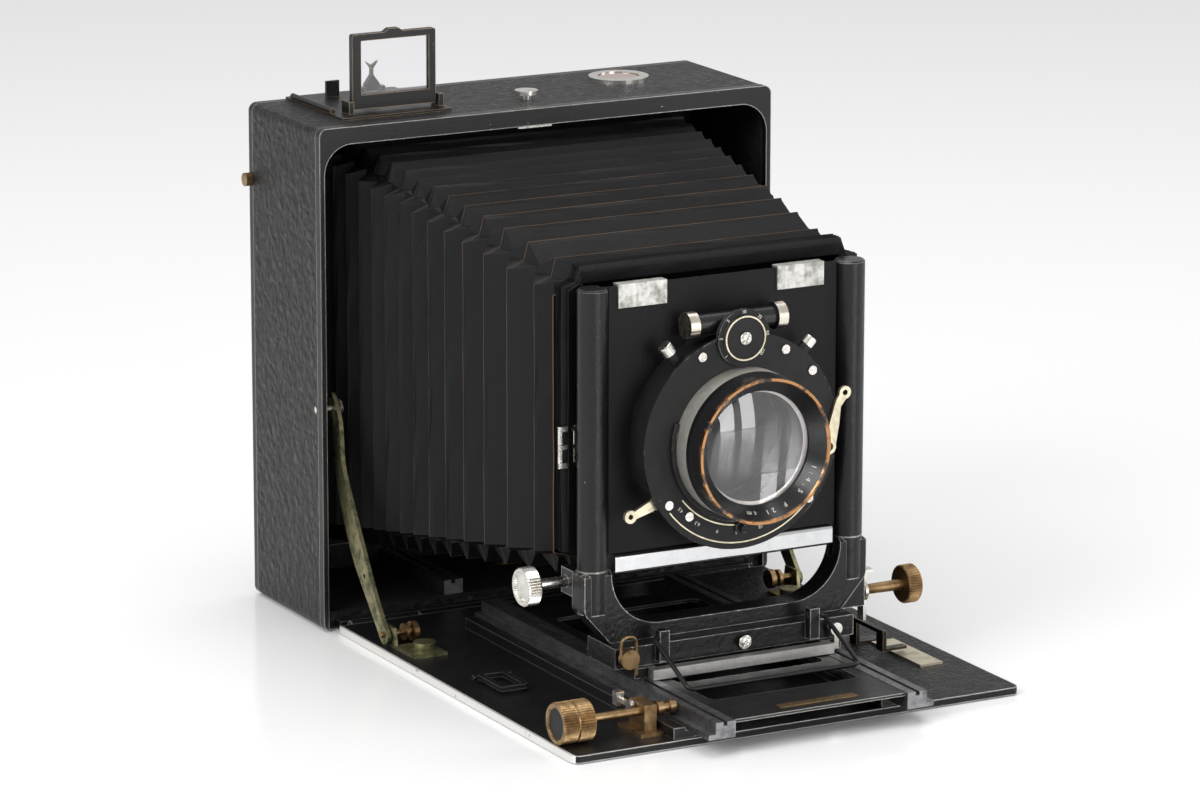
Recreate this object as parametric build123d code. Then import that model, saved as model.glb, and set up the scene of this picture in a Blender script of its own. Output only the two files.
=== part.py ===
from build123d import *
import math
import os

os.makedirs("parts", exist_ok=True)

# ---- driving dimensions, millimetres. X is to the right seen from the front, the front faces -Y ----
BODY_W = 240.0
BODY_H = 240.6
SIDE_WALL = 2.4
TOP_WALL = 8.0
FLOOR_TOP = 8.0
SOCKET_Y = 43.0  # depth of the tripod socket behind the body's front face
SOCKET_R = 4.76
SOCKET_LEN = 7.6
BED_HALF = 114.7
BED_LEN = 240.0
BED_T = 3.5
STANDARD_Y = -166.0  # plane of the standard's columns
COLUMN_X = 66.2
COLUMN_R = 7.0
COLUMN_TOP = 193.0
LEG_TOP = 64.0  # where the cast legs of the U end and the turned columns begin
U_FLOOR = 37.0  # inner bottom of the U
U_RADIUS = 25.0  # inner corners of the U
LENS_Z = 119.5
PANEL_FRONT_Y = -167.2
RAIL_IN = 44.0
RAIL_OUT = 54.0
RAIL_TOP = 15.0
RAIL_FRONT_Y = -258.0
RAIL_BACK_Y = -33.0
GROOVE_IN = 48.2  # groove along each rail, in which the standard's keys run
GROOVE_OUT = 50.2
GROOVE_Z = 13.2
FOCUS_PINION_R = 3.2  # pitch radii of the pinions
RISE_PINION_R = 4.7
FIT = 0.08  # radial clearance of a turning pin
GAP = 0.3  # clearance between sliding faces

HOOD_AXIS_Y = 84.8  # the focusing hood's hinge pin
HOOD_AXIS_Z = 194.0
HOOD_PIN_R = 0.8

half_w = BODY_W / 2
cavity_x = half_w - SIDE_WALL


def block(x0, x1, y0, y1, z0, z1):
    """A box from its limits along X, Y and Z."""
    size = Box(abs(x1 - x0), abs(y1 - y0), abs(z1 - z0))
    return Pos((x0 + x1) / 2, (y0 + y1) / 2, (z0 + z1) / 2) * size


def rod_x(r, x0, x1, y, z):
    """A round bar along X."""
    return Pos((x0 + x1) / 2, y, z) * Rot(0, 90, 0) * Cylinder(r, abs(x1 - x0))


def rod_y(r, x, z, y0, y1):
    """A round bar along Y."""
    return Pos(x, (y0 + y1) / 2, z) * Rot(90, 0, 0) * Cylinder(r, abs(y1 - y0))


def rod_z(r, x, y, z0, z1):
    """A round bar along Z."""
    return Pos(x, y, (z0 + z1) / 2) * Cylinder(r, abs(z1 - z0))


def plate_xz(points, y0, y1):
    """A flat plate whose outline is given in X and Z and whose thickness runs from y0 to y1."""
    outline = make_face(Polyline(*[(x, z) for x, z in points], close=True))
    solid = extrude(Plane.XZ * outline, amount=abs(y1 - y0))
    return Pos(0, max(y0, y1), 0) * solid


def plate_yz(points, x0, x1):
    """A flat plate whose outline is given in Y and Z and whose thickness runs from x0 to x1."""
    outline = make_face(Polyline(*points, close=True))
    solid = extrude(Plane.YZ * outline, amount=abs(x1 - x0))
    return Pos(min(x0, x1), 0, 0) * solid


def window_xz(x0, x1, z0, z1, y0, y1, corner):
    """A block along Y with rounded corners, for openings and frames."""
    face = Pos((x0 + x1) / 2, (z0 + z1) / 2) * RectangleRounded(x1 - x0, z1 - z0, corner)
    solid = extrude(Plane.XZ * face, amount=abs(y1 - y0))
    return Pos(0, max(y0, y1), 0) * solid


def both_sides(shape):
    """The shape and its mirror image about the middle plane."""
    return [shape, mirror(shape, about=Plane.YZ)]


nodes = {}


# ---- body: a leather covered wooden box with a metal rim, open at the front ----
def make_body():
    shell = window_xz(-half_w, half_w, 0, BODY_H, 4.7, 74, 4.0)
    shell -= block(-cavity_x, cavity_x, 0, 80, FLOOR_TOP, BODY_H - TOP_WALL)
    shell -= rod_z(2.75, 0, 24, BODY_H - TOP_WALL - 1, BODY_H + 1)
    shell -= rod_z(7.0, 0, SOCKET_Y, -1, FLOOR_TOP + 1)
    shell -= rod_x(1.6, -half_w, -cavity_x + 1, 8, 106)
    shell -= rod_x(1.6, cavity_x - 1, half_w, 8, 106)
    side = block(-half_w - 1, -cavity_x, 0, 80, -1, BODY_H + 1)
    lid = block(-cavity_x, cavity_x, 0, 80, BODY_H - TOP_WALL, BODY_H + 1)
    floor = block(-cavity_x, cavity_x, 0, 80, -1, FLOOR_TOP)
    # four boards, butted at the corners
    nodes["body_casing"] = [shell & side, shell & mirror(side, about=Plane.YZ), shell & lid, shell & floor]

    rim = window_xz(-half_w - 0.2, half_w + 0.2, 0.0, BODY_H + 0.2, 0.0, 4.7, 4.0)
    rim -= window_xz(-cavity_x, cavity_x, -30, BODY_H - TOP_WALL, -1, 6, 14.0)
    rim -= block(-half_w + 8, half_w - 8, -1, 6, -1, FLOOR_TOP)
    nodes["front_rim"] = rim

    back = window_xz(-half_w, half_w, 0, BODY_H, 74, 78, 4.0)
    back -= window_xz(-100, 100, 20, 220, 73, 79, 6.0)
    nodes["rear_frame"] = back

    holder = window_xz(-112, 112, 8, 232, 78, 83, 5.0)
    holder -= block(-88, 88, 77, 84, 57, 183)
    holder -= block(-91.3, 91.3, 80, 84, 53.7, 186.3)
    for x0, x1 in ((-78, -62), (62, 78)):
        holder += block(x0, x1, 82.8, HOOD_AXIS_Y, HOOD_AXIS_Z - 0.8, HOOD_AXIS_Z + 0.8)
        holder += rod_x(HOOD_PIN_R + 0.6, x0, x1, HOOD_AXIS_Y, HOOD_AXIS_Z)
        holder -= rod_x(HOOD_PIN_R + FIT, x0 - 1, x1 + 1, HOOD_AXIS_Y, HOOD_AXIS_Z)
    nodes["back_frame"] = holder
    nodes["ground_glass"] = block(-91, 91, 80, 82.2, 54, 186)

    rail = block(RAIL_IN, RAIL_OUT, 6, 72, FLOOR_TOP, RAIL_TOP)
    rail -= block(GROOVE_IN, GROOVE_OUT, 5, 73, GROOVE_Z, RAIL_TOP + 1)
    nodes["body_rails"] = both_sides(rail)

    socket = rod_z(7.0, 0, SOCKET_Y, 0, SOCKET_LEN) - rod_z(SOCKET_R, 0, SOCKET_Y, -1, SOCKET_LEN + 1)
    nodes["tripod_bush"] = socket

    catch = block(-9, 9, 15, 29, BODY_H - TOP_WALL - 4.2, BODY_H - TOP_WALL)
    catch -= rod_z(3.2, 0, 24, 220, 240)
    nodes["latch_plate"] = catch

    pins = []
    for s in (-1, 1):
        pin = rod_x(1.55, s * 108.6, s * (half_w - 0.2), 8, 106) + rod_x(4.2, s * 107.4, s * 108.7, 8, 106)
        pins.append(pin)
    nodes["strut_wall_pins"] = pins


make_body()


# ---- level, release button and latches on the body ----
LEVEL_X = 63.4
LEVEL_Y = 49.2


def make_top_fittings():
    ring = rod_z(14.6, LEVEL_X, LEVEL_Y, BODY_H, BODY_H + 1.8)
    ring -= rod_z(9.9, LEVEL_X, LEVEL_Y, BODY_H - 1, BODY_H + 3)
    nodes["level_ring"] = ring
    nodes["level_vial"] = rod_z(9.6, LEVEL_X, LEVEL_Y, BODY_H, BODY_H + 1.3)
    button = rod_z(5.6, 0, 24, BODY_H + 2.4, BODY_H + 4.4)
    button += rod_z(2.6, 0, 24, BODY_H - TOP_WALL - 3.0, BODY_H + 2.5)
    nodes["release_button"] = button
    knob = rod_x(3.2, -half_w - 3.6, -half_w - 0.4, 76, 204)
    nodes["back_catch"] = knob


make_top_fittings()

# ---- focusing hood on the back, hinged along its top edge ----


def make_hood():
    lid = window_xz(-96, 96, 48, 190.5, 83.4, 85.6, 4.0)
    barrel = rod_x(HOOD_PIN_R + 0.6, -61.5, 61.5, HOOD_AXIS_Y, HOOD_AXIS_Z)
    leaf = block(-61.5, 61.5, 83.9, 85.4, 189, 193.4)
    pin = rod_x(HOOD_PIN_R, -78, 78, HOOD_AXIS_Y, HOOD_AXIS_Z)
    nodes["hood_lid"] = lid + leaf + barrel + pin


make_hood()

# ---- folding frame finder on the top of the body ----
FINDER_AXIS_Y = 26.0
FINDER_AXIS_Z = BODY_H + 4.2
SIGHT_X = -59.5
SIGHT_Y = 70.0


def make_finder():
    base = block(-101, -44, 15, 77, BODY_H, BODY_H + 1.2)
    for x0, x1 in ((-94.2, -91.6), (-47.4, -44.8)):
        ear = block(x0, x1, 22, 30, BODY_H + 1.0, BODY_H + 7.0)
        base += ear
    base += rod_x(0.9, -92, -90, FINDER_AXIS_Y, FINDER_AXIS_Z)
    base += rod_x(0.9, -49, -47, FINDER_AXIS_Y, FINDER_AXIS_Z)
    base += rod_y(1.4, -99.6, BODY_H + 2.2, 28, 72)
    base += block(-85, -78, 66, 67.2, BODY_H + 1.0, BODY_H + 9.0)
    for x0, x1 in ((SIGHT_X - 6.4, SIGHT_X - 4.3), (SIGHT_X + 4.3, SIGHT_X + 6.4)):
        base += block(x0, x1, SIGHT_Y - 2, SIGHT_Y + 2, BODY_H + 1.0, BODY_H + 4.0)
    base += rod_x(0.7, SIGHT_X - 5.4, SIGHT_X - 3.4, SIGHT_Y, BODY_H + 2.6)
    base += rod_x(0.7, SIGHT_X + 3.4, SIGHT_X + 5.4, SIGHT_Y, BODY_H + 2.6)
    nodes["finder_base"] = base

    top = BODY_H + 38.2
    frame = window_xz(-91.2, -47.8, FINDER_AXIS_Z - 1.5, top, FINDER_AXIS_Y - 1.7, FINDER_AXIS_Y + 1.7, 1.2)
    frame += plate_xz(
        [(-76, top - 1), (-72, top + 1.6), (-67, top + 1.6), (-63, top - 1)],
        FINDER_AXIS_Y - 1.7,
        FINDER_AXIS_Y + 1.7,
    )
    frame -= block(-86.6, -51.4, 20, 32, BODY_H + 9.4, BODY_H + 35)
    frame -= rod_x(0.9 + FIT, -92, -89.7, FINDER_AXIS_Y, FINDER_AXIS_Z)
    frame -= rod_x(0.9 + FIT, -49.3, -47, FINDER_AXIS_Y, FINDER_AXIS_Z)
    nodes["finder_frame"] = frame
    lens = block(-86.6, -51.4, FINDER_AXIS_Y - 0.7, FINDER_AXIS_Y + 0.7, BODY_H + 9.4, BODY_H + 35)
    nodes["finder_lens"] = lens

    sight_z = BODY_H + 2.6
    sight = plate_xz(
        [
            (SIGHT_X - 4.0, sight_z - 0.8),
            (SIGHT_X + 4.0, sight_z - 0.8),
            (SIGHT_X + 4.0, sight_z + 2.5),
            (SIGHT_X + 0.7, sight_z + 7.0),
            (SIGHT_X + 0.7, sight_z + 10.0),
            (SIGHT_X + 3.2, sight_z + 13.5),
            (SIGHT_X, sight_z + 11.4),
            (SIGHT_X - 3.2, sight_z + 13.5),
            (SIGHT_X - 0.7, sight_z + 10.0),
            (SIGHT_X - 0.7, sight_z + 7.0),
            (SIGHT_X - 4.0, sight_z + 2.5),
        ],
        SIGHT_Y - 1.0,
        SIGHT_Y + 1.0,
    )
    sight -= rod_x(0.7 + FIT, SIGHT_X - 5, SIGHT_X - 3.2, SIGHT_Y, sight_z)
    sight -= rod_x(0.7 + FIT, SIGHT_X + 3.2, SIGHT_X + 5, SIGHT_Y, sight_z)
    nodes["finder_sight"] = sight


make_finder()

# ---- bellows: a tapered tube between the body's back wall and the lens panel ----
BELLOWS_BACK_Y = 70.0
BELLOWS_FRONT_Y = -144.0


def make_bellows():
    def taper(inset):
        rear = Plane.XZ.offset(-BELLOWS_BACK_Y) * Pos(0, 126) * Rectangle(212 - 2 * inset, 206 - 2 * inset)
        front = Plane.XZ.offset(-BELLOWS_FRONT_Y) * Pos(0, 125) * Rectangle(142 - 2 * inset, 138 - 2 * inset)
        return loft([rear, front])

    nodes["bellows"] = taper(0) - taper(1.5)


make_bellows()

# ---- bed: the drop-down base board, hinged along the body's lower front edge ----
HINGE_Y = -2.4
HINGE_Z = 2.3
HINGE_R = 2.2
PIVOT_Y = -45.0
PIVOT_Z = 9.0
STRUT_OUT = 111.4  # outer face of each strut
STRUT_THICK = 2.0
WALL_PIN_Y = 8.0
WALL_PIN_Z = 106.0


def make_bed():
    plate = block(-BED_HALF, BED_HALF, -BED_LEN, -5.0, 0, BED_T)
    corners = [e for e in plate.edges().filter_by(Axis.Z) if e.center().Y < -100]
    plate = fillet(corners, 4.0)
    for x0, x1 in ((-108, -72), (-30, 30), (72, 108)):
        knuckle = rod_x(HINGE_R, x0, x1, HINGE_Y, HINGE_Z) + block(x0, x1, -5.2, HINGE_Y, 0.6, 2.6)
        plate += knuckle - rod_x(1.0 + FIT, x0 - 1, x1 + 1, HINGE_Y, HINGE_Z)
    nodes["bed_plate"] = plate

    leaf = block(-half_w + 8.3, half_w - 8.3, 0.1, 4.6, 0.3, 4.0)
    for x0, x1 in ((-71.5, -30.5), (30.5, 71.5)):
        knuckle = rod_x(HINGE_R, x0, x1, HINGE_Y, HINGE_Z) + block(x0, x1, HINGE_Y, 0.3, 0.6, 2.6)
        leaf += knuckle - rod_x(1.0, x0 - 1, x1 + 1, HINGE_Y, HINGE_Z)
    nodes["bed_hinge"] = [leaf, rod_x(1.0, -109, 109, HINGE_Y, HINGE_Z)]

    guide = block(42.5, 64, -238, -36, BED_T, 7.1) + block(57.9, 64, -238, -36, 7.0, 8.6)
    nodes["bed_guide_rails"] = both_sides(guide)

    feet = []
    for s in (-1, 1):
        ear = plate_yz([(-52, BED_T), (-38, BED_T), (-39.5, 13), (-50.5, 13)], s * 108.8, s * 107.2)
        flange = block(s * 108.8, s * 91.5, -72, -50.5, BED_T, BED_T + 1.4)
        rivet = rod_z(5.2, s * 98, -61, BED_T + 1.3, BED_T + 4.6)
        foot = ear + flange + rivet
        foot -= rod_x(1.5 + FIT, s * 106, s * 110, PIVOT_Y, PIVOT_Z)
        feet.append(foot)
    nodes["strut_feet"] = feet


make_bed()


# ---- struts: flat bars from the bed to pins in the body's side walls, with sprung locking buttons ----
def make_struts():
    reach = math.hypot(WALL_PIN_Y - PIVOT_Y, WALL_PIN_Z - PIVOT_Z)
    lean = math.degrees(math.atan2(WALL_PIN_Z - PIVOT_Z, WALL_PIN_Y - PIVOT_Y))
    head = reach + 4
    front_points = [(-2, 4.2), (23, -0.4), (45, -1.8), (68, -3.2), (86, -2.2), (97, 2.4), (head, 3.8)]
    front_edge = Spline(*front_points)
    rear_points = [(head, -3.8), (100, -5.6), (88, -10.6), (68, -13.8), (45, -14.4), (23, -10.2), (-2, -4.0)]
    rear_edge = Spline(*rear_points)
    tip = ThreePointArc((head, 3.8), (head + 3.6, 0), (head, -3.8))
    heel = ThreePointArc((-2, -4.0), (-4.7, 0), (-2, 4.2))
    profile = make_face([front_edge, tip, rear_edge, heel])
    slot = SlotCenterToCenter(12, 3.4)
    bar = extrude(profile, amount=STRUT_THICK, dir=(0, 0, 1))
    bar -= Pos(0, 0, -1) * extrude(Pos(reach - 2.5, 0) * slot, amount=STRUT_THICK + 2)
    bar -= Pos(0, 0, 1) * Cylinder(1.5 + FIT, 4)
    bar -= Pos(30, -6.0, 1) * Cylinder(1.2, 4)
    bar = Rot(0, 0, lean) * bar
    bar = Plane.YZ * bar  # local X, Y of the bar become Y, Z of the camera
    for name, s in (("left", -1), ("right", 1)):
        x = -STRUT_OUT if s < 0 else STRUT_OUT - STRUT_THICK
        nodes["strut_" + name] = Pos(x, PIVOT_Y, PIVOT_Z) * bar
        button = rod_x(1.5, s * (STRUT_OUT + 1.6), s * 95, PIVOT_Y, PIVOT_Z)
        button += rod_x(4.6, s * 97.2, s * 94.6, PIVOT_Y, PIVOT_Z)
        button += rod_x(4.0, s * 101.0, s * 99.4, PIVOT_Y, PIVOT_Z)
        nodes["strut_button_" + name] = button


make_struts()

# ---- focusing drive on the bed: shaft, knob, bearings and lock lever ----
DRIVE_Y = -221.0
DRIVE_Z = 13.3


def make_drive():
    bearing = block(-72, -66, -226, -212, BED_T, 17) + block(-76, -57.9, -230, -208, BED_T, BED_T + 1.6)
    bearing -= block(-64.3, -57, -239, -36, BED_T - 0.1, 9.0)
    bearing -= rod_x(2.0 + FIT, -73, -65, DRIVE_Y, DRIVE_Z)
    nodes["focus_bearing"] = bearing
    shaft = rod_x(2.0, -98, -54.6, DRIVE_Y, DRIVE_Z) + rod_x(FOCUS_PINION_R, -57.6, -54.6, DRIVE_Y, DRIVE_Z)
    shaft += rod_x(3.6, -64, -61, DRIVE_Y, DRIVE_Z)
    nodes["focus_shaft"] = shaft
    nodes["focus_knob"] = rod_x(9.5, -114, -98, DRIVE_Y, DRIVE_Z)
    lever = rod_x(2.6, -74.4, -72.4, -215, 14.6) + block(-74.4, -72.6, -217, -206, 14.0, 16.0)
    lever += block(-76.4, -72.6, -208, -204, 12.6, 19.0)
    nodes["focus_lock"] = lever


make_drive()


# ---- scale and index on the right of the bed, and the wire clasp on the left ----
def make_bed_fittings():
    scale = block(91, 103, -192, -148, BED_T, BED_T + 1.0)
    nodes["scale_plate"] = scale
    bracket = block(84, 97, -146, -140, BED_T, BED_T + 1.2)
    bracket += block(84, 86, -146, -140, BED_T, 16)
    bracket += block(84, 86, -170, -140, 14, 16)
    bracket += block(84, 86, -170, -164, 6.0, 16)
    bracket += block(84, 97, -170, -166, 6.0, 7.4)
    nodes["index_bracket"] = bracket
    loop = block(-100, -86, -142, -118, 5.2, 7.4) - block(-97.8, -88.2, -139.8, -120.2, 5, 8)
    loop = fillet(loop.edges().filter_by(Axis.Z), 1.0)
    ends = rod_x(1.1, -102.4, -83.6, -119.1, 6.3)
    nodes["bed_clasp"] = loop + ends


make_bed_fittings()


# ---- carriage: two steel rails and a slotted plate that rack forward for focusing ----
def make_carriage():
    rail = block(RAIL_IN, RAIL_OUT, RAIL_FRONT_Y, RAIL_BACK_Y, 7.4, RAIL_TOP)
    rail -= block(GROOVE_IN, GROOVE_OUT, RAIL_FRONT_Y - 1, RAIL_BACK_Y + 1, GROOVE_Z, RAIL_TOP + 1)
    rack = block(RAIL_OUT, 57.5, RAIL_FRONT_Y, RAIL_BACK_Y, 7.4, 9.8)
    nodes["carriage_rails"] = both_sides(rail + rack)
    plate = block(-RAIL_IN, RAIL_IN, RAIL_FRONT_Y + 2, -60, 13.2, 14.7)
    plate -= window_box(-38, 38, -226, -205)
    plate -= window_box(-38, 38, -196, -76)
    nodes["carriage_plate"] = plate


def window_box(x0, x1, y0, y1):
    """A rounded hole straight down through the carriage plate."""
    face = Pos((x0 + x1) / 2, (y0 + y1) / 2) * RectangleRounded(x1 - x0, y1 - y0, 4.0)
    return Pos(0, 0, 10) * extrude(face, amount=8)


make_carriage()

# ---- standard: base block on the rails, cast U frame with round columns above it ----
BASE_FRONT = -180.0
BASE_BACK = -154.0
BAIL_Y = -182.6
BAIL_Z = 33.4
BAIL_FRONT_Y = -216.0
BAIL_FRONT_Z = 17.8


def make_standard_base():
    base = block(-62, 62, BASE_FRONT, BASE_BACK, 20, 29.7)
    for s in (-1, 1):
        base += block(s * 43, s * 53.6, BASE_FRONT - 3, BASE_BACK, RAIL_TOP + GAP, 20.2)
        base += block(s * 48.6, s * 49.8, BASE_FRONT - 3, BASE_BACK, 13.6, RAIL_TOP + 0.6)
        post = block(s * 36.5, s * 41.5, -184.4, BASE_FRONT + 0.2, 22, 36.4)
        post -= rod_x(1.1 + FIT, s * 35, s * 43, BAIL_Y, BAIL_Z)
        base += post
    base -= rod_y(1.7, -57, 25.5, -181, -150)
    base -= rod_y(1.7, 50, 25.5, -181, -150)
    nodes["standard_base"] = base
    nodes["base_strip"] = block(-47, 47, -188.5, BASE_FRONT - 3 - GAP, RAIL_TOP + GAP, 20)
    nodes["base_button"] = rod_y(1.6, -57, 25.5, -182.3, -170) + rod_y(4.6, -57, 25.5, -185.6, -182.2)
    lever = rod_y(1.6, 50, 25.5, -184.2, -170) + rod_y(3.0, 50, 25.5, -185.4, -183.6)
    lever += block(48.8, 51.2, -185.4, -183.8, 16.3, 25.5)
    nodes["base_lever"] = lever


def make_bail():
    r = 1.1
    left = (-44.0, BAIL_Y, BAIL_Z)
    right = (44.0, BAIL_Y, BAIL_Z)
    route = FilletPolyline(
        (-36.9, BAIL_Y, BAIL_Z),
        left,
        (-44.0, BAIL_FRONT_Y, BAIL_FRONT_Z),
        (44.0, BAIL_FRONT_Y, BAIL_FRONT_Z),
        right,
        (36.9, BAIL_Y, BAIL_Z),
        radius=3.0,
    )
    section = Plane(origin=(-36.9, BAIL_Y, BAIL_Z), x_dir=(0, 1, 0), z_dir=(-1, 0, 0)) * Circle(r)
    nodes["wire_bail"] = sweep(section, path=route)


def make_u_frame():
    outline = [
        (-60, 30),
        (60, 30),
        (73.2, 45),
        (73.2, LEG_TOP),
        (59.4, LEG_TOP),
        (59.4, U_FLOOR),
        (-59.4, U_FLOOR),
        (-59.4, LEG_TOP),
        (-73.2, LEG_TOP),
        (-73.2, 45),
    ]
    frame = plate_xz(outline, -172, -160)
    inner = [e for e in frame.edges().filter_by(Axis.Y) if abs(e.center().Z - U_FLOOR) < 0.5]
    frame = fillet(inner, U_RADIUS)
    outer = [e for e in frame.edges().filter_by(Axis.Y) if abs(e.center().Z - 45) < 0.5]
    frame = fillet(outer, 6.0)
    shoulder = [e for e in frame.edges() if e.center().Z > LEG_TOP - 0.1 and abs(e.center().X) > 60]
    frame = chamfer(shoulder, 2.0)
    for s in (-1, 1):
        frame += rod_z(COLUMN_R, s * COLUMN_X, STANDARD_Y, 44, LEG_TOP)
        frame -= block(s * 58, s * 61.7, -165.9, -162.1, 54, LEG_TOP + 1)
    lug = block(-72, -64, -160.2, -147.4, 50, 62)
    frame += lug - rod_x(2.5 + FIT, -73, -63, -152, 56)
    side = block(60, 73.2, -171, -161, 30, 44)
    frame += side
    frame -= rod_x(2.3 + FIT, 58, 74, STANDARD_Y, 36)
    nodes["standard_frame"] = frame

    columns = []
    for s in (-1, 1):
        column = rod_z(COLUMN_R, s * COLUMN_X, STANDARD_Y, LEG_TOP, COLUMN_TOP)
        column = chamfer(column.edges().sort_by(Axis.Z)[-1], 0.8)
        column -= block(s * 58, s * 61.7, -165.9, -162.1, LEG_TOP - 1, COLUMN_TOP + 1)
        columns.append(column)
    nodes["standard_columns"] = columns

    nodes["rise_knob"] = rod_x(9.0, -95, -88.2, -152, 56) + rod_x(2.5, -89, -55, -152, 56)
    nodes["rise_knob"] += rod_x(RISE_PINION_R, -57.4, -53.4, -152, 56)
    nodes["shift_knob"] = rod_x(9.0, 95.5, 102.5, STANDARD_Y, 36) + rod_x(2.3, 60, 96, STANDARD_Y, 36)
    lever = rod_x(5.0, 74.0, 75.6, STANDARD_Y, 36) + block(74.0, 75.6, -168.6, -163.4, 22, 36)
    lever += block(74.0, 75.6, -168.6, -163.4, 36, 46) + block(74.0, 79.6, -168.6, -163.4, 44.6, 46)
    lever -= rod_x(2.3 + FIT, 73, 77, STANDARD_Y, 36)
    nodes["shift_lever"] = lever


make_standard_base()
make_bail()
make_u_frame()


# ---- lens panel: carrier in the columns' grooves, front panel, bright bar and clips ----
def make_panel():
    carrier = block(-61.3, 61.3, -165.6, -162.4, 61, 192)
    carrier -= rod_y(40, 0, LENS_Z, -170, -160)
    carrier += block(-57.4, -53.4, -162.5, -157.0, 66, 125)
    carrier += block(-57.4, -53.4, -159.6, -157.0, 52, 66.1)
    nodes["panel_carrier"] = carrier
    panel = block(-58.6, 58.6, PANEL_FRONT_Y, -165.6, 70.2, 192.6)
    panel -= rod_y(31.1, 0, LENS_Z, -170, -160)
    nodes["lens_panel"] = panel
    bar = block(-56.4, 56.4, -169.8, -165.6, 60.8, 69.9)
    bar = fillet(bar.edges().filter_by(Axis.X).sort_by(Axis.Y)[:2], 1.6)
    nodes["panel_bar"] = bar
    clips = []
    for x0, x1 in ((-54.2, -29.6), (27.2, 51.4)):
        clip = block(x0, x1, PANEL_FRONT_Y - 1.0, PANEL_FRONT_Y, 183, 193.8)
        clip += block(x0, x1, PANEL_FRONT_Y - 0.5, -163.0, 192.8, 193.8)
        clips.append(clip)
    nodes["panel_clips"] = clips


make_panel()

# ---- shutter and lens, built about one horizontal axis ----
FACE_Y = -184.2
DRUM_R = 48.2
FACE_R = 49.8
BORE_R = 29.0
DIAL_Z = LENS_Z + 48.0
CYL_Y = -176.4
CYL_Z = 173.6
COCK_X = 44.5
COCK_Z = 112.0
TRIP_X = -41.0
TRIP_Z = 95.0


def make_shutter():
    case = rod_y(DRUM_R, 0, LENS_Z, -183.0, PANEL_FRONT_Y) + rod_y(FACE_R, 0, LENS_Z, FACE_Y, -182.8)
    case += rod_y(31.0, 0, LENS_Z, PANEL_FRONT_Y - 0.5, -158.0)
    case += rod_y(12.5, 0, DIAL_Z, FACE_Y, -182.4)
    case -= rod_y(BORE_R, 0, LENS_Z, -190, -150)
    case -= plate_xz([(-60, 100), (-34, 108), (-34, 88), (-52, 80)], -181.6, -178.4)
    case += rod_y(2.0, COCK_X, COCK_Z, -186.4, -184.0)
    case += rod_y(1.6, TRIP_X, TRIP_Z, -182.0, -178.2)
    for angle, r in ((128, 51.0), (47, 51.0)):
        x = r * math.cos(math.radians(angle))
        z = LENS_Z + r * math.sin(math.radians(angle))
        post = Pos(x, -178.0, z) * Rot(0, 90 - angle, 0) * Cylinder(2.6, 10)
        case += post
    case -= rod_y(BORE_R, 0, LENS_Z, -190, -150)
    nodes["shutter_case"] = case

    drum = rod_y(DRUM_R + 0.05, 0, LENS_Z, -184, -166)
    saddle = block(-5, 5, -179.5, -173.5, 165, 172) - drum
    tube = rod_x(4.6, -20, 20, CYL_Y, CYL_Z) + saddle
    tube += rod_x(6.2, -25, -20, CYL_Y, CYL_Z) + rod_x(6.2, 20, 25, CYL_Y, CYL_Z)
    nodes["air_cylinder"] = tube

    nodes["speed_dial"] = rod_y(13.2, 0, DIAL_Z, -186.0, FACE_Y - GAP) + rod_y(10.4, 0, DIAL_Z, -187.2, -185.9)

    lever = plate_xz(
        [
            (41.6, 109.6),
            (47.4, 109.6),
            (49.6, 122),
            (50.4, 130),
            (53.6, 134.2),
            (51.4, 138.4),
            (48.0, 133.4),
            (45.0, 124),
        ],
        -186.2,
        -184.6,
    )
    lever += rod_y(3.6, COCK_X, COCK_Z, -186.2, -184.6) + rod_y(3.0, 52.6, 136.4, -186.2, -184.6)
    lever -= rod_y(2.0 + FIT, COCK_X, COCK_Z, -188, -184)
    lever -= rod_y(1.3, 52.6, 136.4, -188, -184)
    nodes["cocking_lever"] = lever

    outline = [(-41, 92.4), (-41, 97.6), (-46, 95.8), (-54, 91.8), (-53.4, 88.6), (-46.5, 90.6)]
    trip = plate_xz(outline, -180.9, -179.1)
    trip += rod_y(3.2, TRIP_X, TRIP_Z, -180.9, -179.1) + rod_y(3.0, -54.6, 90.2, -180.9, -179.1)
    trip -= rod_y(1.6 + FIT, TRIP_X, TRIP_Z, -182, -178)
    trip -= rod_y(1.2, -54.6, 90.2, -182, -178)
    nodes["shutter_release"] = trip

    ring = rod_y(36.6, 0, LENS_Z, -185.8, FACE_Y - GAP)
    ring += rod_y(3.4, 0, LENS_Z - 39.6, -185.8, FACE_Y - GAP) + rod_y(1.8, 0, LENS_Z - 39.8, -188.0, -185.7)
    ring -= rod_y(34.7, 0, LENS_Z, -190, -184)
    ring -= block(-40, 40, -190, -184, LENS_Z + 12, LENS_Z + 40)
    nodes["aperture_ring"] = ring

    screws = []
    for angle, r in ((116.6, 45.9), (61, 45.8), (38.5, 46.3), (214, 45.0), (229.5, 41.5), (319, 46.4)):
        x = r * math.cos(math.radians(angle))
        z = LENS_Z + r * math.sin(math.radians(angle))
        head = rod_y(2.1, x, z, -185.1, FACE_Y) - block(x - 2.2, x + 2.2, -185.2, -184.8, z - 0.3, z + 0.3)
        screws.append(head)
    nodes["face_screws"] = screws


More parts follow.
